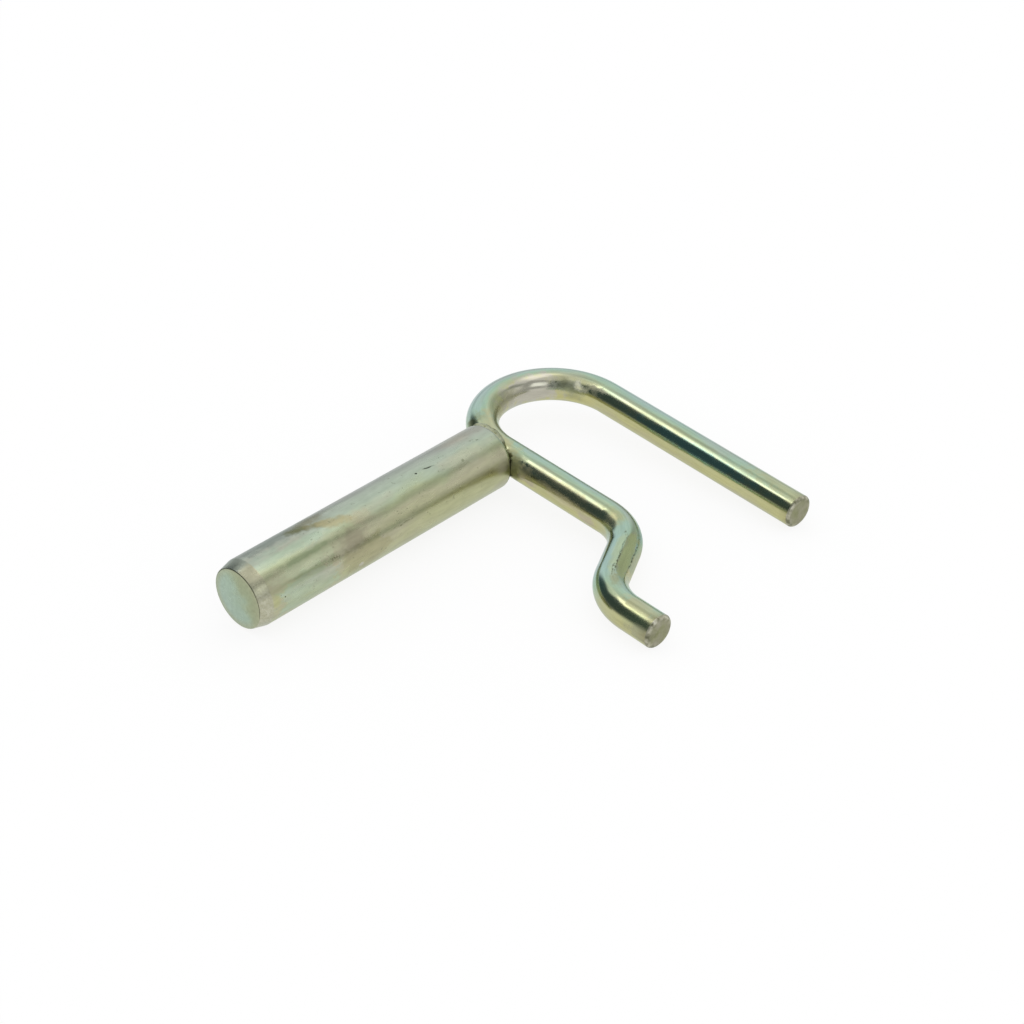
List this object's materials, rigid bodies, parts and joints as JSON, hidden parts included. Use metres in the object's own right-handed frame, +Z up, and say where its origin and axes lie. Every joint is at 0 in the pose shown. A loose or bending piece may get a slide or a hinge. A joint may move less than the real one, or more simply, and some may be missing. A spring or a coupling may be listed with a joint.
{
  "type": "lynch pin",
  "caption": "Round locking pin with a tapered tip, welded end-on to a bent rod handle that has a U-shaped loop and a stepped tail; zinc plated with a yellow sheen.",
  "frame": {"origin": "on the pin's axis, halfway along its full-diameter shank", "axes": "+Y along the pin, from its tip towards the handle; +X along the handle's legs, from the loop towards the tail; +Z up, as the part lies at rest"},
  "size_m": [0.1117, 0.1492, 0.02],
  "materials": {
    "zinc_satin": "satin zinc plate with a yellow passivate, on turned bar",
    "zinc_bright": "bright zinc plate with a yellow and green sheen, on drawn rod",
    "zinc_weld": "dull zinc plate over a rippled weld"
  },
  "bodies": {
    "root": {"pin": "zinc_satin", "handle": "zinc_bright", "weld": "zinc_weld"}
  },
  "joints": []
}
